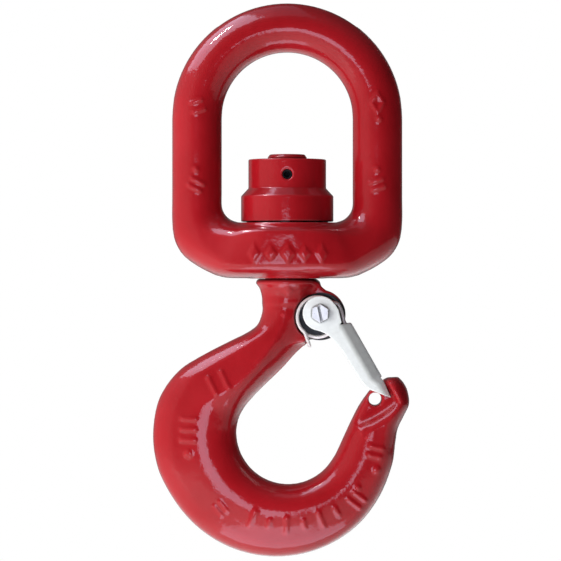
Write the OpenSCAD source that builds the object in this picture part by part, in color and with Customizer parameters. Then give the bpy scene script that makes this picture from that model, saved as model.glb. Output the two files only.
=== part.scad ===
// Swivel hoist hook: forged bail, ball thrust bearing, shank hook and sprung safety latch.
// Units are millimetres. X runs towards the hook tip, Y across the hook, Z up.
// The origin is the load-bearing point: the underside of the bail crown, on the swivel axis.

/* [Bail] */
// Distance from the swivel axis to the inside of each leg
eye_half = 31.2; // [25:0.1:40]
// Diameter of the round bar of the crown and legs
bar_d = 23.4; // [18:0.1:30]
// Height of the machined bearing seat on the base
seat_z = -81; // [-95:0.5:-70]
// Height of the base underside
base_z = -107.7; // [-120:0.1:-95]
// Half-thickness of the base around the bore
base_w = 25.5; // [22:0.5:30]

/* [Swivel shank] */
// Radius of the hook shank in the bail bore
shank_r = 10.5; // [8:0.05:13]
// Radius of the threaded end of the shank
thread_r = 9.3; // [7:0.05:12]
// Height of the top of the shank
shank_top = -48.6; // [-60:0.1:-40]
// Radial running clearance of the swivel
run_gap = 0.05; // [0.02:0.01:0.1]

/* [Retaining nut] */
// Radius of the skirt around the bearing
skirt_r = 22; // [20:0.1:26]
// Radius of the upper part of the nut
nut_r = 18.5; // [16:0.1:22]
// Height of the top of the nut
nut_top = -51; // [-60:0.1:-45]
// Height of the set screw
set_z = -58.5; // [-62:0.1:-54]

/* [Thrust bearing] */
// Radius of the circle through the ball centres
pitch_r = 15.2; // [13:0.1:17]
// Radius of one ball
ball_r = 3.2; // [2:0.05:4]
// Number of balls
balls = 12; // [8:1:14]
// Thickness of each race
race_h = 3.6; // [3:0.1:5]

/* [Hook] */
// Centre of the bowl
bowl = [0.4, -181]; // centre
// Inside radius of the bowl
bowl_r = 24.8; // [20:0.1:30]
// Centre of the outer arc under the bowl
heel = [-5, -182.6]; // centre
// Radius of the outer arc under the bowl
heel_r = 57.3; // [50:0.1:65]
// Largest half-thickness of the forging
body_w = 14.3; // [12:0.1:17]
// Half-thickness of the tip flange
flange_w = 6.5; // [5:0.1:8]
// Radius of the cross hole in the tip
tip_hole_r = 3.1; // [2.5:0.1:4]

/* [Latch] */
// Latch pivot, level with the lug
pivot = [15.5, -124.1]; // centre
// Angle of the closed latch below the horizontal
latch_a = 60.2; // [50:0.1:70]
// Half-width of the latch over its ears
ear_w = 14.4; // [12:0.1:16]
// Half-width of the latch at its tip
nib_w = 9.1; // [8:0.1:11]
// Sheet thickness
sheet = 1.8; // [1.2:0.1:2.5]
// Radius of the latch bolt
bolt_r = 2.5; // [2:0.1:3]

/* [Latch spring] */
// Radius of the spring wire
wire_r = 0.8; // [0.5:0.05:1]
// Radius of the coil to the middle of the wire
coil_r = 9.5; // [9:0.05:11]

/* [Hidden] */
leg_x = eye_half + bar_d / 2;
ball_z = seat_z + race_h + ball_r - 1.1;
race_top = ball_z + ball_r - 1.1 + race_h;
lug = [15.6, -124.9];
boss = [14.3, -125.9];
boss_r = 5.4;
lug_w = 7.5;
tip_hole = [41.8, -164.9];

// ---------- helpers ----------
// Rounded end of a forged section: 1 at x = 0, falling to 0 at x = 1.
function cap(x, q) = x <= 0 ? 1 : pow(max(0, 1 - pow(min(x, 1), q)), 1 / q);

// One forged section from outer point s[0] to inner point s[1]. s[2] is the half-width in the
// middle, s[3] how much it narrows outwards, s[4] and s[5] where the outer and inner ends start
// to round, from -1 at the far end to 1 at their own end, and s[6] and s[7] how square they are.
function ring(s, n) =
    [for (j = [0 : n - 1])
        let (t = 360 * j / n, u = cos(t),
             w = s[2] * (1 - s[3] * u) * cap((u - s[4]) / (1 - s[4]), s[6])
                 * cap((-u - s[5]) / (1 - s[5]), s[7]))
        [(s[0][0] * (1 + u) + s[1][0] * (1 - u)) / 2,
         sin(t) >= 0 ? w : -w,
         (s[0][1] * (1 + u) + s[1][1] * (1 - u)) / 2]];

function lerp(a, b, t) = a * (1 - t) + b * t;

// Catmull-Rom blend of four stations.
function crv(a, b, c, d, t) =
    0.5 * (2 * b + (c - a) * t + (2 * a - 5 * b + 4 * c - d) * t * t
           + (3 * b - a - 3 * c + d) * t * t * t);

function mix(a, b, c, d, t) =
    [for (q = [0 : 7]) crv(a[q], b[q], c[q], d[q], t)];

function smooth(s, m) =
    let (e = len(s) - 1)
    concat([for (i = [0 : e - 1], j = [0 : m - 1])
        mix(s[max(i - 1, 0)], s[i], s[i + 1], s[min(i + 2, e)], j / m)], [s[e]]);

// Skin of rings with n points each, closed at both ends or joined end to end.
module skin(rings, loop = false) {
    n = len(rings[0]);
    m = len(rings);
    pts = [for (r = rings, p = r) p];
    side = [for (i = [0 : m - (loop ? 1 : 2)], j = [0 : n - 1], h = [0, 1])
        let (a = i * n + j, b = i * n + (j + 1) % n, c = (a + n) % (m * n), d = (b + n) % (m * n))
        h == 0 ? [a, d, b] : [a, c, d]];
    low = [for (j = [1 : n - 2]) [0, j, j + 1]];
    top = [for (j = [1 : n - 2]) [(m - 1) * n, (m - 1) * n + j + 1, (m - 1) * n + j]];
    polyhedron(points = pts, faces = concat(side, loop ? [] : low, loop ? [] : top), convexity = 10);
}

function polar(c, r, a) = [c[0] + r * cos(a), c[1] + r * sin(a)];

// Moves a flat X-Z outline, drawn in X-Y, to stand along Y between y0 and y1.
module slab(y0, y1) {
    translate([0, y1, 0])
        rotate([90, 0, 0])
            linear_extrude(height = y1 - y0, convexity = 6)
                children();
}

module rod(c, r, y0, y1, fn) {
    translate([c[0], y1, c[1]])
        rotate([90, 0, 0])
            cylinder(r = r, h = y1 - y0, $fn = fn);
}

// ---------- bail ----------
bail_half = [
    [[0, base_z], [0, seat_z - 0.3], base_w, 0, 0.45, 0.62, 2.3, 2.2],
    [[15, base_z], [11, seat_z - 0.3], base_w - 0.8, 0, 0.45, 0.62, 2.3, 2.2],
    [[29, base_z + 0.4], [18.5, seat_z - 0.3], 22, 0, 0.4, 0.55, 2.3, 2.2],
    [[37.5, -104.3], [23, seat_z], 19, 0, 0.3, 0.4, 2.2, 2.2],
    [[45, -100], [26.6, -79.8], 16.6, 0, 0.2, 0.25, 2.1, 2.1],
    [[50, -95.6], [28.9, -78], 14.8, 0, 0.1, 0.1, 2, 2],
    [[53.4, -89.2], [30.5, -75.6], 13.2, 0, 0, 0, 2, 2],
    [[54.6, -80.5], [31.2, -72.5], 12.2, 0, 0, 0, 2, 2],
    [[54.6, -69], [31.2, -67], 11.8, 0, 0, 0, 2, 2],
    [[54.6, -57], [31.2, -57], 11.7, 0, 0, 0, 2, 2],
    [[54.6, -43], [31.2, -43], 11.7, 0, 0, 0, 2, 2]
];

function flip(s) = [[-s[0][0], s[0][1]], [-s[1][0], s[1][1]], s[2], s[3], s[4], s[5], s[6], s[7]];

module bail() {
    e = len(bail_half) - 1;
    low = concat([for (i = [0 : e - 1]) flip(bail_half[e - i])], bail_half);
    crown = [for (a = [0 : 10 : 180])
        [polar([0, -eye_half], eye_half + bar_d, a), polar([0, -eye_half], eye_half, a),
         bar_d / 2, 0, 0, 0, 2, 2]];
    color([0.72, 0.1, 0.12])
        difference() {
            union() {
                skin([for (s = concat(smooth(low, 2), crown)) ring(s, 24)], true);
                translate([0, 0, base_z + 4])
                    cylinder(r = 23.6, h = seat_z - base_z - 4, $fn = 64);
                translate([0, 0, base_z - 0.05])
                    cylinder(r = 17, h = 8, $fn = 64);
            }
            translate([0, 0, base_z - 1])
                cylinder(r = shank_r + run_gap, h = seat_z - base_z + 2, $fn = 64);
        }
}

// ---------- thrust bearing ----------
module race(z0, up) {
    color([0.62, 0.63, 0.65])
        translate([0, 0, z0])
            rotate_extrude($fn = 72)
                difference() {
                    polygon([[11, 0.3], [11.3, 0], [19.2, 0], [19.5, 0.3], [19.5, race_h - 0.3],
                             [19.2, race_h], [11.3, race_h], [11, race_h - 0.3]]);
                    translate([pitch_r, ball_z - z0])
                        circle(r = ball_r + 0.05, $fn = 48);
                }
}

module lower_race() {
    race(seat_z, 1);
}

module upper_race() {
    race(race_top - race_h, 0);
}

module ball_cage() {
    color([0.78, 0.62, 0.3])
        difference() {
            translate([0, 0, ball_z])
                rotate_extrude($fn = 72)
                    translate([11.6, -1.1])
                        square([7.2, 2.2]);
            for (i = [0 : balls - 1])
                rotate([0, 0, 360 * i / balls])
                    translate([pitch_r, 0, ball_z - 2])
                        cylinder(r = ball_r + 0.1, h = 4, $fn = 32);
        }
}

module ball(i) {
    color([0.82, 0.83, 0.85])
        rotate([0, 0, 360 * (i - 1) / balls])
            translate([pitch_r, 0, ball_z])
                sphere(r = ball_r, $fn = 20);
}

// ---------- retaining nut and set screw ----------
module retaining_nut() {
    color([0.72, 0.1, 0.12])
        difference() {
            rotate_extrude($fn = 96)
                polygon([[20, -80.2], [21.5, -80.2], [skirt_r, -79.7], [skirt_r, -69],
                         [skirt_r - 0.2, -68.6], [nut_r + 0.3, -65.6], [nut_r, -65.2],
                         [nut_r, nut_top - 1], [nut_r - 1, nut_top], [thread_r + 1, nut_top],
                         [thread_r + 0.05, nut_top - 1], [thread_r + 0.05, race_top],
                         [20, race_top]]);
            rotate([90, 0, 0])
                translate([0, set_z, 0])
                    cylinder(r = 2.4, h = 30, $fn = 32);
        }
}

module set_screw() {
    color([0.12, 0.12, 0.13])
        difference() {
            translate([0, 0, set_z])
                rotate([90, 0, 0])
                    union() {
                        translate([0, 0, 10.2])
                            cylinder(r = 2.4, h = 6.6, $fn = 32);
                        translate([0, 0, thread_r + 0.05])
                            cylinder(r1 = 1.5, r2 = 2.4, h = 0.9, $fn = 32);
                    }
            translate([0, -14.3, set_z])
                rotate([90, 0, 0])
                    cylinder(r = 1.45, h = 4, $fn = 6);
        }
}

// ---------- hook ----------
wide = [body_w * 0.94, 0.36, 0.66, -0.2, 2.2, 2];
hook_secs = [
    [[-11.4, -114], [11.4, -114], 11.4, 0, 0, 0, 2, 2],
    [[-11.4, -120], [12, -121.5], 11.4, 0.02, 0.1, -0.1, 2, 1.8],
    [[-12, -125], [12.4, -130], 12, 0.16, 0.35, -0.2, 2, 1.4],
    [[-14.2, -130], [9.4, -137.5], 12.5, 0.2, 0.46, -0.17, 2.1, 1.28],
    [[-19, -133.6], [4, -143], 12.9, 0.26, 0.5, 0.02, 2, 1.25],
    [[-26, -137.1], [-2.4, -150], 12.9, 0.3, 0.5, 0.22, 1.9, 1.25],
    [[-34, -141.1], [-9.8, -157.2], 12.9, 0.33, 0.5, 0.34, 1.9, 1.3],
    [[-42, -145.4], [-16.4, -163.8], 13, 0.35, 0.52, 0.36, 1.9, 1.45],
    [[-50.4, -150.8], [-20.8, -169.2], 13.4, 0.36, 0.56, 0.16, 2, 1.7],
    [[-57.3, -158.7], [-23.4, -174.4], 13.4, 0.36, 0.66, -0.14, 2.2, 1.9],
    concat([[-61.8, -168], [-24.4, -179.6]], wide),
    concat([[-63.7, -181], polar(bowl, bowl_r, 183)], wide),
    concat([[-62.6, -193], polar(bowl, bowl_r, 193)], wide),
    concat([[-58.9, -204], polar(bowl, bowl_r, 206)], wide),
    concat([polar(heel, heel_r, 218), polar(bowl, bowl_r, 222)], wide),
    concat([polar(heel, heel_r, 234), polar(bowl, bowl_r, 238)], wide),
    concat([polar(heel, heel_r, 250), polar(bowl, bowl_r, 254)], wide),
    concat([polar(heel, heel_r, 266), polar(bowl, bowl_r, 270)], wide),
    [polar(heel, heel_r, 282), polar(bowl, bowl_r, 286), 13.2, 0.34, 0.66, -0.2, 2.2, 2],
    [polar(heel, heel_r, 298), polar(bowl, bowl_r, 302), 12.9, 0.3, 0.66, -0.2, 2.2, 2],
    [polar(heel, heel_r - 0.2, 314), polar(bowl, bowl_r, 317), 12.6, 0.24, 0.6, -0.2, 2.2, 2],
    [polar(heel, heel_r - 0.7, 330), polar(bowl, bowl_r, 332), 12.3, 0.18, 0.5, -0.2, 2.2, 2],
    [[49.7, -196.5], [24.7, -188.2], 12, 0.12, 0.45, -0.15, 2.2, 2],
    [[51.2, -186.5], [27.6, -181.8], 11.8, 0.07, 0.4, -0.1, 2.2, 2],
    [[52.4, -179.2], [30.6, -175.4], 11.6, 0.03, 0.4, 0, 2.2, 2],
    [[55.2, -173.2], [33.6, -169.4], 11.4, 0, 0.4, 0.2, 2.2, 2],
    [[57.8, -167.6], [36.6, -164.6], 11, 0, 0.3, 0.5, 2.2, 2],
    [[57.4, -162.4], [39.4, -160.4], 10.4, 0, 0.2, 0.4, 2, 2],
    [[56, -158.6], [42.6, -157.6], 9.4, 0, 0.1, 0.3, 2, 2],
    [[54, -155.9], [45.6, -156], 7.6, 0, 0, 0.1, 2, 2],
    [[52.6, -154.7], [48, -154.9], 4.8, 0, 0, 0, 2, 2]
];

// Outline of everything above the tip seat, left of the nose.
module seat_cut() {
    polygon([[39.6, -160.2], [40.6, -159.4], [42, -159.4], [48.4, -162], [44.6, -155.4],
             [44.2, -140], [20, -140], [36.5, -163.9]]);
}

// Swing room of the latch wings beside the tip flange.
module swing_cut() {
    intersection() {
        translate(pivot)
            circle(r = 54.3, $fn = 120);
        translate(pivot)
            rotate(-latch_a)
                translate([26, -40])
                    square([40, 50.75]);
    }
}

module hook() {
    color([0.72, 0.1, 0.12])
        difference() {
            union() {
                skin([for (s = smooth(hook_secs, 2)) ring(s, 24)]);
                rotate_extrude($fn = 64)
                    polygon(concat([[0, shank_top], [thread_r - 0.9, shank_top],
                        [thread_r, shank_top - 1.1], [thread_r, race_top - 0.8],
                        [shank_r, race_top - 2], [shank_r, base_z - 0.3], [13.6, base_z - 0.3],
                        [14.5, base_z - 0.8]],
                        [for (q = [1 : -0.125 : 0]) [11 + 3.9 * q * q, base_z - 11.1 + 9.2 * q]],
                        [[0, base_z - 11.1]]));
                slab(-lug_w, lug_w)
                    polygon([[0, -109.5], [15, -109.5], [16.4, -111.6], [18.8, -113.6],
                             [21.6, -115], [20, -124], [8, -138], [0, -138]]);
                rod(lug, 12, -lug_w, lug_w, 72);
                rod(boss, boss_r, -12.2, 12.2, 56);
            }
            rod(pivot, bolt_r + 0.05, -20, 20, 40);
            rod(tip_hole, tip_hole_r, -20, 20, 40);
            slab(-20, 20)
                seat_cut();
            slab(flange_w, 20)
                swing_cut();
            slab(-20, -flange_w)
                swing_cut();
            // Room for the spring coils round the bosses
            for (y = [-19.4, 6.9])
                difference() {
                    rod(boss, coil_r + wire_r + 0.5, y, y + 12.5, 56);
                    rod(boss, boss_r, y - 1, y + 13.5, 56);
                }
        }
}

// ---------- latch ----------
// Half-outline of the folded channel at half-width w, bend radius 4.9 outside.
function channel(s, w) =
    let (r = 4.9, t = sheet, h = 10.66)
    concat(
        [[s, -w, -12]],
        [for (a = [180 : -15 : 90]) [s, -w + r + r * cos(a), h - r + r * sin(a)]],
        [for (a = [90 : -15 : 0]) [s, w - r + r * cos(a), h - r + r * sin(a)]],
        [[s, w, -12], [s, w - t, -12]],
        [for (a = [0 : 15 : 90]) [s, w - r + (r - t) * cos(a), h - r + (r - t) * sin(a)]],
        [for (a = [90 : 15 : 180]) [s, -w + r + (r - t) * cos(a), h - r + (r - t) * sin(a)]],
        [[s, t - w, -12]]);

module channel_solid() {
    a = channel(8, ear_w - 0.001);
    b = channel(54, nib_w - 0.2);
    n = len(a);
    h = n / 2;
    polyhedron(
        points = concat(a, b),
        faces = concat(
            [for (j = [0 : h - 2]) [n - 1 - j, n - 2 - j, j + 1, j]],
            [for (j = [0 : h - 2]) [n + j, n + j + 1, 2 * n - 2 - j, 2 * n - 1 - j]],
            [for (j = [0 : n - 1]) [(j + 1) % n, n + (j + 1) % n, n + j, j]]),
        convexity = 8);
}

module wing_outline() {
    polygon([[8.4, 5.2], [9.3, 5.7], [11.4, 10.6], [11.4, 12], [41, 12], [41.2, 10.5],
             [51.9, 9.6], [43.2, 2.5], [41.6, 1.7], [38.4, 0.9], [30, 0.6], [21.6, 0.4],
             [15.5, -0.5], [10.3, -2], [8.4, -3.2]]);
}

module ear_outline() {
    difference() {
        union() {
            circle(r = 8.2, $fn = 64);
            polygon([[0, 8.19], [3, 8.4], [8.7, 6.8], [9.6, 5.2], [11.6, 4], [11.6, -0.9],
                     [10, -2.2], [8, -3.7], [6, -5], [3.3, -7], [0.8, -8.15], [0, 0]]);
        }
        circle(r = bolt_r + 0.05, $fn = 40);
    }
}

module latch() {
    color([0.82, 0.83, 0.85])
        translate([pivot[0], 0, pivot[1]])
            rotate([0, latch_a, 0])
                union() {
                    difference() {
                        intersection() {
                            channel_solid();
                            slab(-20, 20)
                                wing_outline();
                        }
                        translate([40.8, -flange_w - 0.25, -5])
                            cube([20, 2 * flange_w + 0.5, 20]);
                    }
                    slab(ear_w - sheet, ear_w)
                        ear_outline();
                    slab(-ear_w, sheet - ear_w)
                        ear_outline();
                }
}

// ---------- latch spring ----------
function at_latch(s, n, y) =
    [pivot[0] + s * cos(latch_a) + n * sin(latch_a), y,
     pivot[1] - s * sin(latch_a) + n * cos(latch_a)];

function half_path() = concat(
    [at_latch(22, 7.95, -8), at_latch(18, 7.95, -8.05), at_latch(14, 7.9, -8.2),
     [26.9, -8.4, -127.8], [25.8, -8.45, -123.4], [23.8, -8.45, -119.6]],
    [for (a = [50 : 18 : 590]) [boss[0] + coil_r * cos(a), -8.45 - 3 * (a - 50) / 540,
                               boss[1] + coil_r * sin(a)]],
    [[9.4, -11.45, -136.3], [10.2, -11.4, -138.4], [10.5, -10.9, -139.2], [10.6, -9.6, -139.6]]);

function spring_path() =
    let (h = half_path(), m = len(h) - 1)
    concat(h, [[10.6, 0, -139.7]], [for (i = [0 : m]) [h[m - i][0], -h[m - i][1], h[m - i][2]]]);

function unit(v) = v / norm(v);

module wire(path, r, n) {
    e = len(path) - 1;
    // Frame carried along the wire, so that the tube never twists.
    t = [for (i = [0 : e]) unit(path[min(i + 1, e)] - path[max(i - 1, 0)])];
    skin([for (i = [0 : e])
        let (y = [0.05, 1, 0.08], u = unit(cross(t[i], abs(t[i] * y) > 0.8 ? [1, 0, 1] : y)),
             v = cross(t[i], u))
        [for (j = [0 : n - 1])
            path[i] + r * (cos(360 * j / n) * u + sin(360 * j / n) * v)]]);
}

module latch_spring() {
    color([0.55, 0.56, 0.58])
        wire(spring_path(), wire_r, 8);
}

// ---------- latch bolt and nut ----------
module latch_bolt() {
    color([0.75, 0.76, 0.78])
        difference() {
            union() {
                rod(pivot, bolt_r, -ear_w - 1, 19.8, 40);
                rod(pivot, 4.62, -ear_w - 3.6, -ear_w - 0.05, 6);
            }
            translate([pivot[0], -ear_w - 3.6, pivot[1]])
                rotate([0, -12, 0])
                    cube([0.9, 2.4, 12], center = true);
        }
}

module latch_nut() {
    color([0.7, 0.71, 0.73])
        difference() {
            rod(pivot, 4.62, ear_w + 0.05, ear_w + 4.2, 6);
            rod(pivot, bolt_r + 0.02, 10, 25, 40);
        }
}

bail();
lower_race();
ball_cage();
ball(1);  // ball_01
ball(2);  // ball_02
ball(3);  // ball_03
ball(4);  // ball_04
ball(5);  // ball_05
ball(6);  // ball_06
ball(7);  // ball_07
ball(8);  // ball_08
ball(9);  // ball_09
ball(10);  // ball_10
ball(11);  // ball_11
ball(12);  // ball_12
upper_race();
retaining_nut();
set_screw();
hook();
latch();
latch_spring();
latch_bolt();
latch_nut();
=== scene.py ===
"""Swivel hoist hook: enamelled forgings, folded latch and coil spring in a plain studio.

Shapes are worked out in millimetres on grids of signed distance, then meshed in metres.
X runs towards the hook tip, Y across the hook and away from the camera, Z up. The origin is
the underside of the bail crown, on the swivel axis.
"""
import math

import bpy
import numpy as np
import openvdb as vdb
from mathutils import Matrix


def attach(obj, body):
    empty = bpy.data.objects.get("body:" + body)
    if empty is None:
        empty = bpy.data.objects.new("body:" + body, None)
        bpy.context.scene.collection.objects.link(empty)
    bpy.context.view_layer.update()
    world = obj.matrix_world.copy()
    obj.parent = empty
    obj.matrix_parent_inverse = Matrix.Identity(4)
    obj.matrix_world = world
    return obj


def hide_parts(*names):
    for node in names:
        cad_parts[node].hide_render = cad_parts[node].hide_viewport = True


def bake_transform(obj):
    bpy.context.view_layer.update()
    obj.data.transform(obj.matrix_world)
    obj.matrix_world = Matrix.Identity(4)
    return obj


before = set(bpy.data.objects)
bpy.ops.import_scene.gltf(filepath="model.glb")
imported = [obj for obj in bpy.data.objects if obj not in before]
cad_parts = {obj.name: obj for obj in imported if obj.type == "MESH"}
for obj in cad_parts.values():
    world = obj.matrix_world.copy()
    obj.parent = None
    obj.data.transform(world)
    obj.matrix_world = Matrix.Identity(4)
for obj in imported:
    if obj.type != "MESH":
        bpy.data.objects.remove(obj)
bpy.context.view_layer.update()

MM = 0.001
FRONT = -1  # side of Y that faces the camera
SKIN_REACH = 6.0  # how far from a skin its distance is worked out, mm

# ---------- driving dimensions, mm ----------
EYE_HALF, BAR_D = 31.2, 23.4
SEAT_Z, BASE_Z, BASE_W = -81.0, -107.7, 25.5
BORE_R, SHANK_R, THREAD_R, SHANK_TOP = 10.55, 10.5, 9.3, -48.6
SKIRT_R, NUT_R, NUT_TOP, NUT_FOOT, SET_Z = 22.0, 18.5, -51.0, -80.6, -58.5
RACE_TOP = -69.6
BOWL, BOWL_R = (0.4, -181.0), 24.8
HEEL, HEEL_R = (-5.0, -182.6), 57.3
BODY_W, FLANGE_W, TIP_HOLE_R = 14.3, 6.5, 3.1
PIVOT, LATCH_A = (15.5, -124.1), 60.2
LUG, LUG_R, LUG_W = (15.6, -124.9), 12.0, 7.5
BOSS, BOSS_R, BOSS_W = (14.3, -125.9), 5.4, 12.2
POCKET_R = 10.8
TIP_HOLE = (41.8, -164.9)
EAR_W, NIB_W, SHEET, BOLT_R = 14.4, 9.1, 1.8, 2.5
WIRE_R, COIL_R, COIL_Y, COIL_RUN = 0.8, 9.5, -8.45, 3


# ---------- distance shapes ----------
def smin(a, b, k):
    """Union of two distances with a fillet of about k."""
    h = np.maximum(k - np.abs(a - b), 0) / k
    return np.minimum(a, b) - h * h * k / 4


def smax(a, b, k):
    """Intersection of two distances with an edge rounded by about k."""
    return -smin(-a, -b, k)


def circle(x, z, centre, r):
    return np.hypot(x - centre[0], z - centre[1]) - r


def polygon(x, z, points):
    """Signed distance to a closed outline."""
    d = np.full(np.broadcast(x, z).shape, 1e9, np.float32)
    sign = np.ones_like(d)
    for (ax, az), (bx, bz) in zip(points, points[-1:] + points[:-1]):
        ex, ez, wx, wz = bx - ax, bz - az, x - ax, z - az
        t = np.clip((wx * ex + wz * ez) / (ex * ex + ez * ez), 0, 1)
        d = np.minimum(d, (wx - ex * t) ** 2 + (wz - ez * t) ** 2)
        above, below, left = z >= az, z < bz, ex * wz > ez * wx
        turn = (above & below & left) | ~(above | below | left)
        sign = np.where(turn, -sign, sign)
    return sign * np.sqrt(d)


def stroke(x, z, a, b, r):
    """A round-ended bar, or a dot where a and b are the same."""
    ex, ez = b[0] - a[0], b[1] - a[1]
    t = np.clip(((x - a[0]) * ex + (z - a[1]) * ez) / max(ex * ex + ez * ez, 1e-9), 0, 1)
    return np.hypot(x - a[0] - ex * t, z - a[1] - ez * t) - r


def prism(flat, depth, r):
    """A flat outline carried through depth <= 0, its edges rounded by r."""
    a, b = flat + r, depth + r
    return np.minimum(np.maximum(a, b), 0) + np.hypot(np.maximum(a, 0), np.maximum(b, 0)) - r


def hexagon(x, z, centre, circumradius, turn):
    """Distance to a hexagon with a corner at the angle turn, in degrees."""
    d = None
    for k in range(6):
        a = math.radians(turn + 30 + 60 * k)
        side = (x - centre[0]) * math.cos(a) + (z - centre[1]) * math.sin(a)
        side = side - circumradius * math.cos(math.pi / 6)
        d = side if d is None else np.maximum(d, side)
    return d


class Grid:
    """A box of evenly spaced points, in millimetres, on which distances are worked out."""

    def __init__(self, low, high, step):
        self.step = step
        self.low = np.floor(np.array(low) / step).astype(int)
        count = np.ceil(np.array(high) / step).astype(int) - self.low + 1
        axes = [((self.low[i] + np.arange(count[i])) * step).astype(np.float32) for i in range(3)]
        self.shape = tuple(int(c) for c in count)
        self.x, self.y, self.z = np.meshgrid(*axes, indexing="ij", sparse=True)

    def skin(self, rings, loop=False):
        """Distance to the closed skin through rings of points."""
        m, n = rings.shape[:2]
        i = np.arange(m if loop else m - 1)[:, None]
        j = np.arange(n)[None, :]
        a, b = i * n + j, i * n + (j + 1) % n
        c, d = (b + n) % (m * n), (a + n) % (m * n)
        quads = np.stack([a, b, c, d], -1).reshape(-1, 4)
        k = np.arange(1, n - 1)
        fan = np.stack([k * 0, k, k + 1], -1)
        tris = np.zeros((0, 3), int) if loop else np.concatenate([fan, fan + (m - 1) * n])
        level = vdb.FloatGrid.createLevelSetFromPolygons(
            np.ascontiguousarray(rings.reshape(-1, 3), np.float32),
            triangles=np.ascontiguousarray(tris, np.uint32),
            quads=np.ascontiguousarray(quads, np.uint32),
            transform=vdb.createLinearTransform(self.step), halfWidth=SKIN_REACH / self.step)
        out = np.empty(self.shape, np.float32)
        level.copyToArray(out, ijk=tuple(int(v) for v in self.low))
        return out

    def sample(self, field, points):
        """Values of a field between the grid's points."""
        p = points / self.step - self.low
        p = np.clip(p, 0, np.array(self.shape) - 1.001)
        i = p.astype(int)
        f = (p - i).astype(np.float32)
        out = 0
        for dx in (0, 1):
            for dy in (0, 1):
                for dz in (0, 1):
                    w = (np.abs(1 - dx - f[:, 0]) * np.abs(1 - dy - f[:, 1])
                         * np.abs(1 - dz - f[:, 2]))
                    out = out + w * field[i[:, 0] + dx, i[:, 1] + dy, i[:, 2] + dz]
        return out

    def mesh(self, field):
        """Points, normals and faces of the surface where the distance is nought."""
        field = np.ascontiguousarray(np.broadcast_to(field, self.shape), np.float32)
        band = 4 * self.step
        level = vdb.FloatGrid(band)
        level.transform = vdb.createLinearTransform(self.step)
        level.copyFromArray(np.clip(field, -band, band), ijk=tuple(int(v) for v in self.low))
        points, tris, quads = level.convertToPolygons(isovalue=0.0, adaptivity=0.0)
        points = points.astype(float)
        slopes = np.gradient(field, self.step)
        for _ in range(2):
            g = np.stack([self.sample(s, points) for s in slopes], -1)
            off = self.sample(field, points)[:, None]
            points = points - np.clip(off, -0.4 * self.step, 0.4 * self.step) * g / np.maximum(
                (g * g).sum(1, keepdims=True), 0.25)
        normals = np.stack([self.sample(s, points) for s in slopes], -1)
        normals /= np.maximum(np.linalg.norm(normals, axis=1, keepdims=True), 1e-6)
        faces = [q for q in (quads, tris) if len(q)]
        q = faces[0]
        cross = np.cross(points[q[:, 1]] - points[q[:, 0]], points[q[:, 2]] - points[q[:, 0]])
        if (cross * normals[q[:, 0]]).sum() < 0:
            faces = [f[:, ::-1] for f in faces]
        return points, normals, faces


def add_piece(name, points, normals, faces, material, body, slot_name, replaced=None):
    """Makes the mesh, from millimetres, and hangs it on its body."""
    me = bpy.data.meshes.new(name)
    me.from_pydata((points * MM).tolist(), [], [f for block in faces for f in block.tolist()])
    me.polygons.foreach_set("use_smooth", [True] * len(me.polygons))
    if normals is not None:
        me.normals_split_custom_set_from_vertices(normals.tolist())
    me.materials.append(material)
    ob = bpy.data.objects.new(name, me)
    bpy.context.scene.collection.objects.link(ob)
    if body:
        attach(ob, body)
    if replaced:
        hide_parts(replaced)
    return ob


# ---------- forged sections ----------
def cap(x, q):
    """Rounded end of a section: 1 at x = 0, falling to 0 at x = 1."""
    x = np.clip(x, 0, 1)
    return np.maximum(1 - x ** q, 0) ** (1 / q)


def polar(centre, r, degrees):
    a = math.radians(degrees)
    return (centre[0] + r * math.cos(a), centre[1] + r * math.sin(a))


def station(outer, inner, w, narrow=0.0, uo=0.0, ui=0.0, qo=2.0, qi=2.0):
    """One forged section, from its outer to its inner point. w is the half-width, narrow how
    much it narrows outwards, uo and ui where its ends start to round, qo and qi how square."""
    return np.array([*outer, *inner, w, narrow, uo, ui, qo, qi], float)


def blended(stations, steps, loop=False):
    """Catmull-Rom blend through the stations."""
    s, out = stations, []
    e = len(s)
    for i in range(e if loop else e - 1):
        if loop:
            a, b, c, d = (s[(i + k) % e] for k in (-1, 0, 1, 2))
        else:
            a, b, c, d = s[max(i - 1, 0)], s[i], s[i + 1], s[min(i + 2, e - 1)]
        for t in np.arange(steps) / steps:
            out.append(0.5 * (2 * b + (c - a) * t + (2 * a - 5 * b + 4 * c - d) * t * t
                              + (3 * b - a - 3 * c + d) * t ** 3))
    return out if loop else out + [s[-1]]


def rings(stations, n):
    """Rings of n points round each section."""
    t = 2 * math.pi * np.arange(n) / n
    u, side = np.cos(t), np.where(np.sin(t) >= -1e-9, 1.0, -1.0)
    out = []
    for ox, oz, ix, iz, w, narrow, uo, ui, qo, qi in stations:
        v = w * (1 - narrow * u) * cap((u - uo) / (1 - uo), qo) * cap((-u - ui) / (1 - ui), qi)
        out.append(np.stack([(ox * (1 + u) + ix * (1 - u)) / 2, side * v,
                             (oz * (1 + u) + iz * (1 - u)) / 2], -1))
    return np.array(out)


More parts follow.
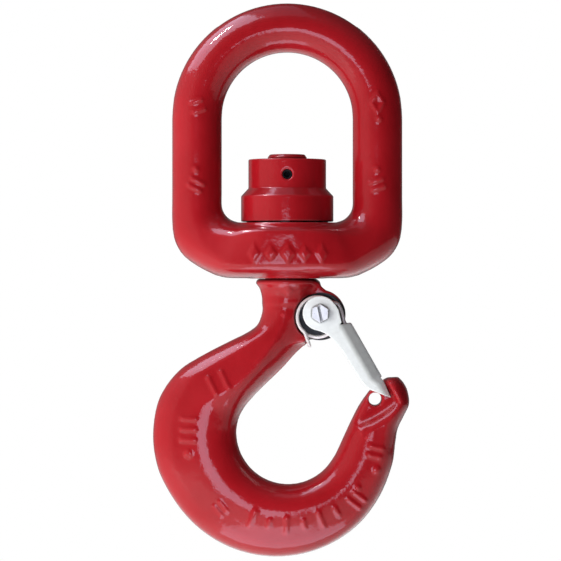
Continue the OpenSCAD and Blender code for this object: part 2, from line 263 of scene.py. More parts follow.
# ---------- materials ----------
class Nodes:
    """Short names for building a node material."""

    def __init__(self, name):
        self.material = bpy.data.materials.new(name)
        self.material.use_nodes = True
        self.tree = self.material.node_tree
        self.shader = self.tree.nodes["Principled BSDF"]
        self.place = self.tree.nodes.new("ShaderNodeTexCoord").outputs["Object"]

    def set(self, **values):
        for key, value in values.items():
            socket = self.shader.inputs[key.replace("_", " ")]
            if isinstance(value, bpy.types.NodeSocket):
                self.tree.links.new(value, socket)
            else:
                socket.default_value = value
        return self

    def noise(self, scale, detail=3.0, rough=0.5, stretch=None):
        where = self.place
        if stretch:
            m = self.tree.nodes.new("ShaderNodeMapping")
            m.inputs["Scale"].default_value = stretch
            self.tree.links.new(where, m.inputs["Vector"])
            where = m.outputs["Vector"]
        n = self.tree.nodes.new("ShaderNodeTexNoise")
        n.inputs["Scale"].default_value = scale
        n.inputs["Detail"].default_value = detail
        n.inputs["Roughness"].default_value = rough
        self.tree.links.new(where, n.inputs["Vector"])
        return n.outputs["Fac"]

    def cells(self, scale):
        n = self.tree.nodes.new("ShaderNodeTexVoronoi")
        n.inputs["Scale"].default_value = scale
        self.tree.links.new(self.place, n.inputs["Vector"])
        return n.outputs["Distance"]

    def painted_gap_shade(self, reach, dark, colour, low=0.15, high=0.75):
        """Painted shade: darkens a colour towards dark in gaps narrower than reach millimetres, by
        ambient occlusion.
        """
        n = self.tree.nodes.new("ShaderNodeAmbientOcclusion")
        n.samples = 8
        n.inputs["Distance"].default_value = reach * MM
        return self.blend(self.span(n.outputs["AO"], low, high, 0, 1), dark, colour)

    def off_axis(self, centre):
        """Distance in metres from a line across the hook."""
        where = self.place
        for operation, vector in (("SUBTRACT", (centre[0] * MM, 0, centre[1] * MM)),
                                  ("MULTIPLY", (1, 0, 1))):
            n = self.tree.nodes.new("ShaderNodeVectorMath")
            n.operation = operation
            n.inputs[1].default_value = vector
            self.tree.links.new(where, n.inputs[0])
            where = n.outputs["Vector"]
        n = self.tree.nodes.new("ShaderNodeVectorMath")
        n.operation = "LENGTH"
        self.tree.links.new(where, n.inputs[0])
        return n.outputs["Value"]

    def pointiness(self):
        return self.tree.nodes.new("ShaderNodeNewGeometry").outputs["Pointiness"]

    def span(self, value, low, high, out_low, out_high):
        n = self.tree.nodes.new("ShaderNodeMapRange")
        self.tree.links.new(value, n.inputs["Value"])
        for key, v in (("From Min", low), ("From Max", high), ("To Min", out_low),
                       ("To Max", out_high)):
            n.inputs[key].default_value = v
        return n.outputs["Result"]

    def blend(self, factor, a, b):
        n = self.tree.nodes.new("ShaderNodeMix")
        n.data_type = "RGBA"
        self.tree.links.new(factor, n.inputs["Factor"])
        for socket, v in zip([s for s in n.inputs if s.type == "RGBA"], (a, b)):
            if isinstance(v, bpy.types.NodeSocket):
                self.tree.links.new(v, socket)
            else:
                socket.default_value = (*v, 1)
        return next(s for s in n.outputs if s.type == "RGBA")

    def bump(self, *layers):
        """Stacks bumps, each a height, a depth in millimetres and a strength."""
        normal = None
        for height, depth, strength in layers:
            n = self.tree.nodes.new("ShaderNodeBump")
            n.inputs["Strength"].default_value = strength
            n.inputs["Distance"].default_value = depth * MM
            self.tree.links.new(height, n.inputs["Height"])
            if normal:
                self.tree.links.new(normal, n.inputs["Normal"])
            normal = n.outputs["Normal"]
        return normal


def enamel(name="red_enamel", painted_pocket_shade=None):
    """Glossy red enamel over a forging: slow waves, orange peel, thinner paint on edges, painted
    shade in gaps. Given a pocket's centre and radius, the pocket round that line is painted
    near-black as shade."""
    m = Nodes(name)
    slow, peel = m.noise(95, 2.0), m.noise(900, 2.0)
    shade = m.blend(m.span(m.noise(38, 4.0), 0.35, 0.65, 0, 1), (0.34, 0.005, 0.0095),
                    (0.39, 0.0075, 0.0135))
    edge = m.span(m.pointiness(), 0.5, 0.56, 0, 1)
    colour = m.blend(edge, shade, (0.46, 0.022, 0.03))
    # Painted shade: the red darkens to near-black in gaps and hollows up to 6 mm across.
    colour = m.painted_gap_shade(6, (0.03, 0.006, 0.007), colour)
    bump = m.bump((slow, 1.0, 0.35), (peel, 0.05, 0.5))
    coat_bump = m.bump((slow, 1.0, 0.22), (peel, 0.05, 0.8))
    coat = 1.0
    # Painted shade: inside the spring pocket the red is swapped for near-black with a thin coat,
    # standing for the shadow in the coil.
    if painted_pocket_shade:
        painted = m.span(m.off_axis(painted_pocket_shade[0]), (painted_pocket_shade[1] - 0.3) * MM, (painted_pocket_shade[1] + 0.3) * MM, 0, 1)
        colour = m.blend(painted, (0.035, 0.037, 0.04), colour)
        coat = m.span(painted, 0, 1, 0.15, 1)
    return m.set(Base_Color=colour, Roughness=m.span(slow, 0.3, 0.7, 0.3, 0.42), Normal=bump,
                 Coat_Weight=coat, Coat_Roughness=m.span(peel, 0.3, 0.7, 0.05, 0.11),
                 Coat_Normal=coat_bump, Coat_IOR=1.45, Specular_IOR_Level=0.08).material


def metal(name, light, dark, rough, grain, streak=None, depth=0.01, shine=1.0, reach=2.5):
    """Bare or plated metal: fine grain, and brushed streaks where streak stretches them."""
    m = Nodes(name)
    fine = m.noise(grain, 3.0, 0.6, streak)
    broad = m.noise(140, 3.0)
    colour = m.blend(m.span(broad, 0.3, 0.7, 0, 1), dark, light)
    # Painted shade: the metal darkens towards near-black by ambient occlusion in gaps narrower
    # than reach millimetres.
    colour = m.painted_gap_shade(reach, tuple(0.08 * c for c in dark), colour)
    return m.set(Base_Color=colour, Metallic=shine,
                 Roughness=m.span(fine, 0.25, 0.75, rough[0], rough[1]),
                 Normal=m.bump((fine, depth, 0.6))).material


def zinc():
    """Bright zinc sheet: faint spangle and rolling streaks."""
    m = Nodes("zinc_sheet")
    streak = m.noise(420, 3.0, 0.6, (1.0, 1.0, 9.0))
    spangle = m.cells(520)
    colour = m.blend(m.span(spangle, 0.0, 0.9, 0, 1), (0.91, 0.94, 0.93), (0.85, 0.88, 0.87))
    # Painted shade: the zinc goes near-black in gaps narrower than 1.6 mm, such as round the bolt
    # head and ear.
    colour = m.painted_gap_shade(1.6, (0.04, 0.04, 0.04), colour, 0.45, 0.85)
    return m.set(Base_Color=colour, Metallic=0.1,
                 Roughness=m.span(streak, 0.3, 0.7, 0.34, 0.5),
                 Normal=m.bump((streak, 0.012, 0.5), (spangle, 0.01, 0.3))).material


RED = enamel()
# The hook's enamel paints its spring pocket near-black as shade.
RED_HOOK = enamel("red_enamel_hook_pocket_shade", ((16.3, -126.3), 12.0))
ZINC = zinc()
SPRING = metal("spring_steel", (0.9, 0.85, 0.84), (0.78, 0.74, 0.73), (0.25, 0.4), 500, None,
               0.004, 0.35, 0.4)
PLATED = metal("plated_bolt", (0.86, 0.87, 0.87), (0.74, 0.75, 0.76), (0.24, 0.4), 1100,
               (1.0, 0.3, 1.0), shine=0.5)
RACE = metal("bearing_steel", (0.66, 0.66, 0.65), (0.52, 0.53, 0.54), (0.16, 0.3), 900,
             (1.0, 1.0, 6.0))
BALL = metal("ball_steel", (0.78, 0.78, 0.79), (0.7, 0.71, 0.72), (0.06, 0.12), 700)
BRASS = metal("cage_brass", (0.72, 0.52, 0.22), (0.6, 0.42, 0.17), (0.25, 0.4), 800,
              (1.0, 1.0, 5.0))
BLACK = metal("black_steel", (0.05, 0.05, 0.052), (0.02, 0.02, 0.022), (0.35, 0.55), 1300)


# ---------- raised marks, plain shapes only ----------
MARK_HEIGHT, MARK_SOFT, FLASH_WIDTH = 0.6, 0.315, 0.7


def bars(x, z, centre, angle, count, pitch, length, r):
    """A row of bars standing across the direction angle, in degrees."""
    a = math.radians(angle)
    along, up = (math.cos(a), math.sin(a)), (-math.sin(a), math.cos(a))
    d = 1e9
    for k in range(count):
        s = (k - (count - 1) / 2) * pitch
        c = (centre[0] + s * along[0], centre[1] + s * along[1])
        ends = [(c[0] + e * up[0], c[1] + e * up[1]) for e in (-length / 2, length / 2)]
        d = np.minimum(d, stroke(x, z, *ends, r))
    return d


def lozenge(x, z, centre, a, b, r=0.0):
    """A lozenge with half-diagonals a and b, drawn as an outline where r is given."""
    d = (np.abs(x - centre[0]) / a + np.abs(z - centre[1]) / b - 1) * a * b / math.hypot(a, b)
    return np.abs(d) - r if r else d


def dot(x, z, centre, r):
    """A round dot."""
    return stroke(x, z, centre, centre, r)


def raised(body, flat, y):
    """Lifts the body's front face inside the flat marks, with soft edges."""
    mask = 1 / (1 + np.exp(np.clip(flat / MARK_SOFT, -30, 30)))
    face = np.clip(FRONT * y * 0.4, 0, 1)
    return body - MARK_HEIGHT * mask * face


def flash_line(y):
    """The low ridge that a forging keeps where its two dies met."""
    return np.exp(-(y / FLASH_WIDTH) ** 2)


# ---------- bail ----------
BAIL_HALF = [
    station((0, BASE_Z), (0, SEAT_Z), BASE_W, 0, 0.45, 0.62, 2.3, 2.2),
    station((15, BASE_Z), (11, SEAT_Z), BASE_W - 0.8, 0, 0.45, 0.62, 2.3, 2.2),
    station((29, BASE_Z + 0.4), (18.5, SEAT_Z), 22, 0, 0.4, 0.55, 2.3, 2.2),
    station((37.5, -104.3), (23, SEAT_Z + 0.1), 19, 0, 0.3, 0.4, 2.2, 2.2),
    station((45, -100), (26.6, -79.8), 16.6, 0, 0.2, 0.25, 2.1, 2.1),
    station((50, -95.6), (28.9, -78), 14.8, 0, 0.1, 0.1),
    station((53.4, -89.2), (30.5, -75.6), 13.2),
    station((54.6, -80.5), (31.2, -72.5), 12.2),
    station((54.6, -69), (31.2, -67), 11.8),
    station((54.6, -57), (31.2, -57), 11.7),
    station((54.6, -43), (31.2, -43), 11.7),
]


def mirrored(s):
    """A section on the other side of the swivel axis."""
    return np.array([-s[0], s[1], -s[2], *s[3:]])


def bail_marks(x, z):
    """Base: a row of lozenges. Legs: short bars, dots and a lozenge."""
    row = -95.8
    d = lozenge(x, z, (0.2, row), 3.2, 4.4)
    for k in (-2, -1, 1, 2):
        d = np.minimum(d, lozenge(x, z, (0.2 + 8 * k, row), 2.6, 3.4 if k % 2 else 4.4))
    for leg, tilt in ((-43.4, 64), (42.4, 108)):
        d = np.minimum(d, bars(x, z, (leg, -63.2), tilt, 2, 3.6, 6.0, 0.85))
        d = np.minimum(d, dot(x, z, (leg, -56.0), 1.3))
    d = np.minimum(d, bars(x, z, (-42.6, -26.0), 110, 2, 4.6, 5.4, 0.75))
    d = np.minimum(d, lozenge(x, z, (42.6, -24.5), 2.8, 4.6, 0.75))
    d = np.minimum(d, dot(x, z, (43.2, -32.0), 1.3))
    return d


def make_bail():
    g = Grid((-56.5, -27.5, -110), (56.5, 27.5, 25.5), 0.62)
    x, y, z = g.x, g.y, g.z
    low = [mirrored(s) for s in reversed(BAIL_HALF[1:])] + BAIL_HALF
    crown = [station(polar((0, -EYE_HALF), EYE_HALF + BAR_D, a),
                     polar((0, -EYE_HALF), EYE_HALF, a), BAR_D / 2) for a in range(0, 181, 10)]
    body = g.skin(rings(blended(low, 5) + blended(crown, 3), 96), loop=True)
    r = np.hypot(x, y)
    seat = prism(r - 23.6, np.abs(z - (SEAT_Z + BASE_Z + 4) / 2) - (SEAT_Z - BASE_Z - 4) / 2, 0.8)
    body = smin(body, seat, 2.0)
    pad = prism(r - 17, np.abs(z - BASE_Z - 4) - 4, 0.5)
    body = smin(body, pad, 3.0)
    body = smax(body, BASE_Z - z, 0.8)
    spot_face = prism(r - 24, np.abs(z - SEAT_Z - 8) - 8, 0.6)
    body = smax(body, -spot_face, 0.6)
    body = raised(body, bail_marks(x, z), y)
    body = body - 0.25 * flash_line(y) * (np.abs(x) > 33)
    bore = np.minimum(r - BORE_R, r - BORE_R - 0.9 + np.abs(z - BASE_Z))
    body = smax(body, -np.maximum(bore, z + 60), 0.5)
    return add_piece("bail_forging", *g.mesh(body), RED, "bail", "red_enamel", "bail")


# ---------- nut, shank and set screw ----------
def turned(r, z, outline, round_by):
    """A turned outline grown by round_by, which rounds its corners."""
    return polygon(r, z, outline) - round_by


def make_nut():
    g = Grid((-23, -23, -81.5), (23, 23, -50), 0.36)
    x, y, z = g.x, g.y, g.z
    e = 0.45
    outline = [(19.6, NUT_FOOT + e), (SKIRT_R - e, NUT_FOOT + e), (SKIRT_R - e, -68.7),
               (NUT_R - e, -64.9), (NUT_R - e, NUT_TOP - e), (THREAD_R + 0.1 + e, NUT_TOP - e),
               (THREAD_R + 0.1 + e, RACE_TOP + e), (19.6, RACE_TOP + e)]
    d = turned(np.hypot(x, y), z, outline, e)
    hole = np.maximum(np.hypot(x, z - SET_Z) - 2.4, y + 8)
    sink = np.maximum(np.hypot(x, z - SET_Z) - 3.0 + (y + NUT_R) * 1.2, y + 8)
    d = smax(d, -np.minimum(hole, sink), 0.35)
    return add_piece("retaining_nut_body", *g.mesh(d), RED, "hook", "red_enamel",
                     "retaining_nut")


def make_shank():
    g = Grid((-11.5, -11.5, -116), (11.5, 11.5, -47.5), 0.4)
    r = np.hypot(g.x, g.y)
    e = 0.3
    outline = [(-20, SHANK_TOP - e), (THREAD_R - 0.9 - e, SHANK_TOP - e),
               (THREAD_R - e, SHANK_TOP - 1.2 - e), (THREAD_R - e, RACE_TOP - 0.8),
               (SHANK_R - e, RACE_TOP - 2), (SHANK_R - e, -115), (-20, -115)]
    d = turned(r, g.z, outline, e)
    thread = 0.22 * np.sin(g.z * 2 * math.pi / 1.9 - np.arctan2(g.y, g.x))
    on_thread = (r > THREAD_R - 1.6) & (g.z > RACE_TOP) & (g.z < SHANK_TOP - 1.6)
    d = d + np.where(on_thread, np.abs(thread), 0)
    centre_mark = np.maximum(r - 1.6 - (g.z - SHANK_TOP) * 0.9, SHANK_TOP - 1.4 - g.z)
    d = smax(d, -centre_mark, 0.4)
    return add_piece("swivel_shank", *g.mesh(d), RED, "hook", "red_enamel")


def make_set_screw():
    g = Grid((-3, -17.4, SET_Z - 3), (3, -9.6, SET_Z + 3), 0.1)
    r = np.hypot(g.x, g.z - SET_Z)
    d = prism(r - 2.3, np.abs(g.y + 13.4) - 3.4, 0.25)
    d = d + 0.1 * np.abs(np.sin(g.y * math.pi / 0.8)) * (r > 1.9) * (g.y > -16.2)
    socket = np.maximum(hexagon(g.x, g.z, (0, SET_Z), 1.45, 12), g.y + 14.3)
    sink = r - 1.7 + (g.y + 16.8) * 0.9
    d = smax(d, -np.minimum(socket, sink), 0.12)
    return add_piece("set_screw_body", *g.mesh(d), BLACK, "hook", "black_steel", "set_screw")


# ---------- hook ----------
def bowl_station(outer, inner, narrow=0.36, w=BODY_W * 0.94, uo=0.5, ui=-0.2, qo=2.1, qi=2.0):
    return station(outer, inner, w, narrow, uo, ui, qo, qi)


HOOK = [
    station((-11.4, -114), (11.4, -114), 11.4),
    station((-11.4, -120), (12, -121.5), 11.4, 0.02, 0.1, -0.1, 2, 1.8),
    station((-12, -125), (12.4, -130), 12, 0.16, 0.35, -0.2, 2, 1.4),
    station((-14.2, -130), (9.4, -137.5), 12.5, 0.2, 0.46, -0.17, 2.1, 1.28),
    station((-19, -133.6), (4, -143), 12.9, 0.26, 0.5, 0.02, 2, 1.25),
    station((-26, -137.1), (-2.4, -150), 12.9, 0.3, 0.5, 0.22, 1.9, 1.25),
    station((-34, -141.1), (-9.8, -157.2), 12.9, 0.33, 0.5, 0.34, 1.9, 1.3),
    station((-42, -145.4), (-16.4, -163.8), 13, 0.35, 0.52, 0.36, 1.9, 1.45),
    bowl_station((-50.4, -150.8), (-20.8, -169.2), uo=0.56, ui=0.16, qo=2, qi=1.7),
    bowl_station((-57.3, -158.7), (-23.4, -174.4), ui=-0.14, qi=1.9),
    bowl_station((-61.8, -168), (-24.4, -179.6)),
    bowl_station((-63.7, -181), polar(BOWL, BOWL_R, 183)),
    bowl_station((-62.6, -193), polar(BOWL, BOWL_R, 193)),
    bowl_station((-58.9, -204), polar(BOWL, BOWL_R, 206)),
    bowl_station(polar(HEEL, HEEL_R, 218), polar(BOWL, BOWL_R, 222)),
    bowl_station(polar(HEEL, HEEL_R, 234), polar(BOWL, BOWL_R, 238)),
    bowl_station(polar(HEEL, HEEL_R, 250), polar(BOWL, BOWL_R, 254)),
    bowl_station(polar(HEEL, HEEL_R, 266), polar(BOWL, BOWL_R, 270)),
    bowl_station(polar(HEEL, HEEL_R, 282), polar(BOWL, BOWL_R, 286), 0.34, 13.2),
    bowl_station(polar(HEEL, HEEL_R, 298), polar(BOWL, BOWL_R, 302), 0.3, 12.9),
    bowl_station(polar(HEEL, HEEL_R - 0.2, 314), polar(BOWL, BOWL_R, 317), 0.24, 12.6, 0.6),
    bowl_station(polar(HEEL, HEEL_R - 0.7, 330), polar(BOWL, BOWL_R + 0.1, 332), 0.18, 12.3, 0.5),
    bowl_station((49.7, -196.5), (24.7, -188.2), 0.12, 12, 0.45, -0.15, 2.2),
    bowl_station((51.2, -186.5), (27.6, -181.8), 0.07, 11.8, 0.4, -0.1, 2.2),
    bowl_station((52.4, -179.2), (30.6, -175.4), 0.03, 11.6, 0.4, 0, 2.2),
    bowl_station((55.2, -173.2), (33.6, -169.4), 0, 11.4, 0.4, 0.2, 2.2),
    bowl_station((57.8, -167.6), (36.6, -164.6), 0, 11, 0.3, 0.5, 2.2),
    bowl_station((57.4, -162.4), (39.4, -160.4), 0, 10.4, 0.2, 0.4, 2),
    bowl_station((56, -158.6), (42.6, -157.6), 0, 9.4, 0.1, 0.3, 2),
    station((54, -155.9), (45.6, -156), 7.6, 0, 0, 0.1),
    station((52.6, -154.7), (48, -154.9), 4.8),
]
SEAT_CUT = [(39.6, -160.2), (40.6, -159.4), (42, -159.4), (48.4, -162), (44.6, -155.4),
            (44.2, -140), (20, -140), (36.5, -163.9)]
WEB = [(0, -109.5), (15, -109.5), (16.4, -111.6), (18.8, -113.6), (21.6, -115), (20, -124),
       (8, -138), (0, -138)]


RECESS_R, RECESS_N, RECESS_S = 55.0, 11.2, 26


def along_arc(radius, degrees):
    """A point on an arc about the bowl's centre."""
    return polar(BOWL, radius, degrees)


def hook_marks(x, z):
    """Plain bars, dots and lozenges where a forging carries its raised codes."""
    d = bars(x, z, (-46.8, -179.0), 88, 3, 5.0, 6.4, 0.9)
    d = np.minimum(d, dot(x, z, (-46.9, -190.4), 1.7))
    d = np.minimum(d, bars(x, z, (-32.6, -156.8), 26, 2, 6.6, 8.0, 0.95))
    for k, angle in enumerate(range(247, 304, 11)):
        reach = 1.6 if k % 2 else 3.4
        d = np.minimum(d, stroke(x, z, along_arc(43.4 - reach, angle),
                                 along_arc(43.4 + reach, angle), 1.0))
    d = np.minimum(d, bars(x, z, along_arc(45.6, 316), 52, 2, 4.4, 7.4, 0.75))
    d = np.minimum(d, dot(x, z, along_arc(41.8, 322), 1.2))
    d = np.minimum(d, bars(x, z, (41.6, -189.6), 76, 2, 4.2, 5.4, 0.75))
    d = np.minimum(d, dot(x, z, (42.4, -198.4), 1.7))
    d = np.minimum(d, lozenge(x, z, (35.0, -177.6), 2.8, 4.0))
    d = np.minimum(d, bars(x, z, (-31.6, -216.4), 40, 2, 3.4, 5.2, 0.7))
    d = np.minimum(d, lozenge(x, z, (0.4, -113.4), 2.2, 2.4))
    return d


def make_hook():
    g = Grid((-66, -16, -242.5), (60.5, 16, -107), 0.64)
    x, y, z = g.x, g.y, g.z
    across = np.abs(y)
    neck = g.skin(rings(blended(HOOK, 5), 112))
    r = np.hypot(x, y)
    e = 1.0
    flare = [(11 + 3.9 * q * q - e, BASE_Z - 11.1 + 9.2 * q) for q in np.linspace(1, 0, 9)]
    collar = polygon(r, z, [(0, BASE_Z - 0.1 - e), (14.4 - e, BASE_Z - 0.1 - e)] + flare
                     + [(0, BASE_Z - 11.1)]) - e
    body = smin(neck, collar, 3.0)
    lug = prism(np.minimum(circle(x, z, LUG, LUG_R), polygon(x, z, WEB)), across - LUG_W, 1.2)
    body = smin(body, lug, 2.6)
    body = smin(body, prism(circle(x, z, BOSS, BOSS_R), across - BOSS_W, 0.5), 0.5)
    body = raised(body, hook_marks(x, z), y)
    body = body - 0.28 * flash_line(y) * np.clip((-118 - z) / 4, 0, 1)
    pocket = np.abs(circle(x, z, BOSS, (BOSS_R + POCKET_R) / 2)) - (POCKET_R - BOSS_R) / 2
    pocket = np.maximum(pocket, LUG_W - 0.6 - across)
    body = smax(body, -pocket, 0.5)
    a = math.radians(LATCH_A)
    s = (x - PIVOT[0]) * math.cos(a) - (z - PIVOT[1]) * math.sin(a)
    n = (x - PIVOT[0]) * math.sin(a) + (z - PIVOT[1]) * math.cos(a)
    # The recess on each side of the tip flange slopes out again past the latch's reach.
    rise = 1.5 * np.logaddexp(0, circle(x, z, PIVOT, RECESS_R) / 1.1)
    beside = (FLANGE_W + rise - across) * 0.8
    body = smax(body, -smax(smax(n - RECESS_N, beside, 1.6), RECESS_S - s, 4), 2.5)
    body = smax(body, -polygon(x, z, SEAT_CUT), 0.9)
    hole = np.minimum(circle(x, z, TIP_HOLE, TIP_HOLE_R),
                      circle(x, z, TIP_HOLE, TIP_HOLE_R + 0.7) + 2 * np.abs(across - FLANGE_W))
    body = smax(body, -hole, 0.5)
    body = np.maximum(body, -circle(x, z, PIVOT, BOLT_R + 0.05))
    return add_piece("hook_forging", *g.mesh(body), RED_HOOK, "hook", "red_enamel", "hook")


# ---------- latch, in its own frame: s along it, n towards the outside of the hook ----------
WING = [(8.4, 5.2), (9.3, 5.7), (11.4, 10.6), (11.4, 12), (42.6, 12), (43, 10.5), (51.9, 9.5),
        (43.2, 2.5), (41.6, 1.7), (38.4, 0.9), (30, 0.6), (21.6, 0.4), (15.5, -0.5),
        (10.3, -2), (8.4, -3.2)]
EAR = [(0, 8.19), (3, 8.4), (8.7, 6.8), (9.4, 5.2), (11.6, 4), (11.6, -1.2), (10, -2.2),
       (8, -3.7), (6, -5), (3.3, -7), (0.8, -8.15), (0, 0)]


def turn_latch(vectors):
    """Vectors (s, y, n) of the latch's frame, in the object's frame."""
    a = math.radians(LATCH_A)
    s, y, n = vectors[..., 0], vectors[..., 1], vectors[..., 2]
    return np.stack([s * math.cos(a) + n * math.sin(a), y,
                     n * math.cos(a) - s * math.sin(a)], -1)


def from_latch(points):
    """Points (s, y, n) of the latch's frame, in the object's frame."""
    return turn_latch(points) + (PIVOT[0], 0, PIVOT[1])


def make_latch():
    g = Grid((-9.5, -15.2, -9.5), (53.5, 15.2, 12), 0.26)
    s, y, n = g.x, g.y, g.z
    across = np.abs(y)
    half = EAR_W + (NIB_W - 0.2 - EAR_W) * (s - 8) / 46
    height, chamfer = 10.66, 4.9 - 1.6 * np.clip((s - 39) / 4, 0, 1)
    outer = np.maximum(across - half, n - height)
    corner = (across - half + n - height + chamfer) / math.sqrt(2)
    outer = smax(outer, corner, 1.1)
    shell = smax(outer, -(outer + SHEET), 0.3)
    body = smax(shell, polygon(s, n, WING), 0.45)
    slot = np.maximum(across - FLANGE_W - 0.25, 40.8 - s)
    body = smax(body, -np.maximum(slot, 1.5 - n), 0.5)
    ear_flat = smin(circle(s, n, (0, 0), 8.2), polygon(s, n, EAR), 0.6)
    ear = prism(ear_flat, np.abs(across - np.minimum(half, EAR_W) + SHEET / 2) - SHEET / 2, 0.3)
    body = smin(body, ear, 0.3)
    body = smax(body, -(circle(s, n, (0, 0), BOLT_R + 0.1)), 0.3)
    points, normals, faces = g.mesh(body)
    return add_piece("latch_plate", from_latch(points), turn_latch(normals), faces, ZINC,
                     "latch", "zinc_sheet", "latch")


def make_bolt():
    g = Grid((PIVOT[0] - 5.5, -18.6, PIVOT[1] - 5.5), (PIVOT[0] + 5.5, 20.4, PIVOT[1] + 5.5), 0.16)
    x, y, z = g.x, g.y, g.z
    r = circle(x, z, PIVOT, 0)
    top = -EAR_W - 3.4
    head = prism(hexagon(x, z, PIVOT, 4.42, 27), np.abs(y - (top - EAR_W - 0.1) / 2)
                 - (-EAR_W - 0.1 - top) / 2, 0.15)
    head = smax(head, (r - 4.2 - (y - top)) * 0.7, 0.2)
    d = smin(head, prism(r - BOLT_R, np.abs(y - 2.4) - 17.2, 0.5), 0.2)
    thread = 0.16 * np.sin(y * 2 * math.pi / 0.9 + np.arctan2(z - PIVOT[1], x - PIVOT[0]))
    d = d + np.abs(thread) * (y > EAR_W) * (r > 1.9)
    a = math.radians(12)
    across = (x - PIVOT[0]) * math.cos(a) + (z - PIVOT[1]) * math.sin(a)
    d = smax(d, -np.maximum(np.abs(across) - 0.5, y - top - 1.3), 0.15)
    return add_piece("latch_bolt_body", *g.mesh(d), PLATED, "hook", "plated_bolt", "latch_bolt")


def make_latch_nut():
    g = Grid((PIVOT[0] - 5.2, 14, PIVOT[1] - 5.2), (PIVOT[0] + 5.2, 19.2, PIVOT[1] + 5.2), 0.14)
    x, y, z = g.x, g.y, g.z
    r = circle(x, z, PIVOT, 0)
    d = prism(hexagon(x, z, PIVOT, 4.62, 20), np.abs(y - EAR_W - 2.1) - 2.05, 0.12)
    d = smax(d, (r - 4.3 - (EAR_W + 4.15 - y)) * 0.7, 0.15)
    d = smax(d, (r - 4.45 - (y - EAR_W - 0.05)) * 0.7, 0.15)
    d = smax(d, BOLT_R + 0.02 - r, 0.2)
    return add_piece("latch_nut_body", *g.mesh(d), PLATED, "hook", "plated_bolt", "latch_nut")


# ---------- latch spring ----------
def make_spring():
    """Double torsion spring: a coil on each boss, a loop across the throat, legs on the latch."""
    legs = from_latch(np.array([(22, -8, 7.95), (18, -8.05, 7.95), (14, -8.2, 7.9)], float))
    lead = [(26.9, -8.4, -127.8), (25.8, COIL_Y, -123.4), (23.8, COIL_Y, -119.6)]
    first, sweep = 50, 540
    turns = []
    for a in range(first, first + sweep + 1, 12):
        x, z = polar(BOSS, COIL_R, a)
        turns.append((x, COIL_Y - COIL_RUN * (a - first) / sweep, z))
    tail = [(9.4, -11.45, -136.3), (10.2, -11.4, -138.4), (10.5, -10.9, -139.2),
            (10.6, -9.6, -139.6)]
    half = [tuple(p) for p in legs] + lead + turns + tail
    path = half + [(10.6, 0, -139.7)] + [(x, -y, z) for x, y, z in reversed(half)]
    line = np.array(blended([np.array(p, float) for p in path], 4))
    ahead = np.gradient(line, axis=0)
    ahead /= np.linalg.norm(ahead, axis=1, keepdims=True)
    across = np.cross(ahead[0], (0, 1, 0))
    n = 14
    t = 2 * math.pi * np.arange(n) / n
    points = []
    for p, d in zip(line, ahead):
        across = across - d * (across @ d)
        across = across / np.linalg.norm(across)
        up = np.cross(d, across)
        points.append(p + WIRE_R * (np.cos(t)[:, None] * across + np.sin(t)[:, None] * up))
    m = len(points)
    i, j = np.arange(m - 1)[:, None], np.arange(n)[None, :]
    a, b = i * n + j, i * n + (j + 1) % n
    quads = np.stack([a, b, b + n, a + n], -1).reshape(-1, 4)
    k = np.arange(1, n - 1)
    fan = np.stack([k * 0, k + 1, k], -1)
    ends = np.concatenate([fan, fan[:, ::-1] + (m - 1) * n])
    ob = add_piece("latch_spring_wire", np.concatenate(points), None, [quads, ends], SPRING,
                   None, "spring_steel", "latch_spring")
    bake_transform(ob)
    return ob


make_bail()
make_nut()
make_shank()
make_set_screw()
make_hook()
make_latch()
make_bolt()
make_latch_nut()
make_spring()

# CAD nodes that keep their shape take their finish here.
for name, finish in [("lower_race", RACE), ("upper_race", RACE), ("ball_cage", BRASS)] + [
        (f"ball_{k:02d}", BALL) for k in range(1, 13)]:
    node = bpy.data.objects[name]
    node.data.materials.clear()
    node.data.materials.append(finish)


# ---------- studio ----------
def floor_material():
    m = Nodes("studio_floor")
    colour = m.blend(m.noise(6, 2.0), (0.86, 0.86, 0.87), (0.9, 0.9, 0.9))
    return m.set(Base_Color=colour, Roughness=0.7, Normal=m.bump((m.noise(60, 3.0), 0.1, 0.1)),
                 Emission_Color=colour, Emission_Strength=0.32).material


def make_floor(radius=3.0, height=-0.64):
    """A pale disc below the hook, falling away a little at its rim."""
    n, rows = 96, 24
    points = [(0.0, 0.0, height)]
    for i in range(1, rows + 1):
        r = radius * i / rows
        lift = 0.012 * max(0.0, (i / rows - 0.85) / 0.15) ** 2
        points += [(r * math.cos(2 * math.pi * k / n), r * math.sin(2 * math.pi * k / n),
                    height - lift) for k in range(n)]
    faces = [(0, 1 + k, 1 + (k + 1) % n) for k in range(n)]
    for i in range(rows - 1):
        a, b = 1 + i * n, 1 + (i + 1) * n
        faces += [(a + k, b + k, b + (k + 1) % n, a + (k + 1) % n) for k in range(n)]
    me = bpy.data.meshes.new("studio_floor")
    me.from_pydata(points, [], faces)
    me.materials.append(floor_material())
    ob = bpy.data.objects.new("studio_floor", me)
    bpy.context.scene.collection.objects.link(ob)


def soft_light(use, name, place, aim, width, height, power, colour=(1, 1, 1)):
    """An area light. use is "fill" where it only lights, "shine" where only gloss shows it."""
    light = bpy.data.lights.new(name, "AREA")
    light.shape, light.size, light.size_y = "RECTANGLE", width, height
    light.energy, light.color = power, colour
    ob = bpy.data.objects.new(name, light)
    bpy.context.scene.collection.objects.link(ob)
    ob.location = place
    to = np.array(aim) - np.array(place)
    flat = math.hypot(to[0], to[1])
    ob.rotation_euler = (math.pi / 2 + math.atan2(to[2], flat), 0, math.atan2(-to[0], to[1]))
    ob.visible_camera = False
    ob.visible_glossy = use != "fill"
    ob.visible_diffuse = use != "shine"


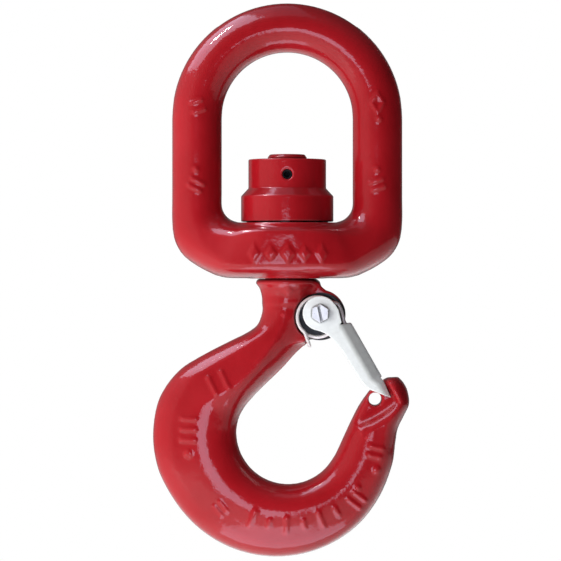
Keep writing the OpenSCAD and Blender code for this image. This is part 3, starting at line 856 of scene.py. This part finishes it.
def make_world():
    """White for the camera. For light: bright behind, above and on the left, dark on the right."""
    world = bpy.data.worlds.new("studio_world")
    bpy.context.scene.world = world
    world.use_nodes = True
    t = world.node_tree
    t.nodes.clear()
    out = t.nodes.new("ShaderNodeOutputWorld")
    shown = t.nodes.new("ShaderNodeBackground")
    shown.inputs["Color"].default_value = (1, 1, 1, 1)
    lit = t.nodes.new("ShaderNodeBackground")
    mix = t.nodes.new("ShaderNodeMixShader")
    path = t.nodes.new("ShaderNodeLightPath")
    t.links.new(path.outputs["Is Camera Ray"], mix.inputs["Fac"])
    t.links.new(lit.outputs[0], mix.inputs[1])
    t.links.new(shown.outputs[0], mix.inputs[2])
    t.links.new(mix.outputs[0], out.inputs["Surface"])
    axes = t.nodes.new("ShaderNodeSeparateXYZ")
    t.links.new(t.nodes.new("ShaderNodeTexCoord").outputs["Generated"], axes.inputs[0])

    def ramp(socket, low, high, a, b):
        n = t.nodes.new("ShaderNodeMapRange")
        n.interpolation_type = "SMOOTHSTEP"
        t.links.new(socket, n.inputs["Value"])
        for key, v in (("From Min", low), ("From Max", high), ("To Min", a), ("To Max", b)):
            n.inputs[key].default_value = v
        return n.outputs["Result"]

    def calc(operation, a, b):
        n = t.nodes.new("ShaderNodeMath")
        n.operation = operation
        t.links.new(a, n.inputs[0])
        t.links.new(b, n.inputs[1])
        return n.outputs[0]

    left = ramp(axes.outputs["X"], -0.95, 0.0, 0.32, 0.02)
    back = ramp(axes.outputs["Y"], 0.75, 0.99, 0.0, 0.1)
    top = ramp(axes.outputs["Z"], 0.3, 0.95, 0.0, 0.05)
    total = calc("ADD", calc("ADD", left, back), top)
    t.links.new(total, lit.inputs["Strength"])
    lit.inputs["Color"].default_value = (0.95, 0.97, 1, 1)


def make_camera():
    cam = bpy.data.cameras.new("camera")
    cam.sensor_width, cam.lens = 36.0, 202.0
    ob = bpy.data.objects.new("camera", cam)
    bpy.context.scene.collection.objects.link(ob)
    ob.location = (-0.0032, -1.5, -0.1086)
    ob.rotation_euler = (math.pi / 2, 0, 0)
    bpy.context.scene.camera = ob


make_floor()
make_world()
make_camera()
MIDDLE, SHOULDER, OVERHEAD = (0.0, 0.0, -0.12), (-0.03, 0.0, -0.144), (0.0, -0.1, 0.0)
COOL, LAVENDER = (0.9, 0.9, 1.0), (0.74, 0.77, 1.0)
soft_light("fill", "left_wall", (-0.45, -0.05, -0.14), MIDDLE, 0.7, 0.8, 2.8)
soft_light("fill", "front_fill", (-0.95, -1.15, 0.1), MIDDLE, 0.8, 0.8, 11.5)
soft_light("fill", "low_fill", (-0.1, -0.3, -0.36), MIDDLE, 0.5, 0.3, 0.35)
soft_light("fill", "back_fill", (0.5, 1.3, 0.2), MIDDLE, 1.0, 1.0, 12.0)
soft_light("fill", "ceiling", (-0.05, -0.15, 0.7), MIDDLE, 1.0, 0.8, 1.9, COOL)
soft_light("shine", "ceiling_shine", (-0.25, -0.05, 0.7), MIDDLE, 1.0, 0.8, 1.0, LAVENDER)
soft_light("shine", "bowl_shine", (-0.16, -1.8, -0.34), MIDDLE, 0.6, 0.5, 4.2, LAVENDER)
soft_light("shine", "low_shine", (0.0, -0.1, -0.33), OVERHEAD, 0.18, 0.16, 0.24, LAVENDER)
soft_light("shine", "shoulder_shine", (-0.32, -0.05, 0.34), SHOULDER, 0.5, 0.4, 2.8, LAVENDER)
soft_light("shine", "shoulder_glint", (-0.219, -0.045, 0.261), SHOULDER, 0.012, 0.08, 0.45)
bpy.context.scene.view_settings.view_transform = "Standard"
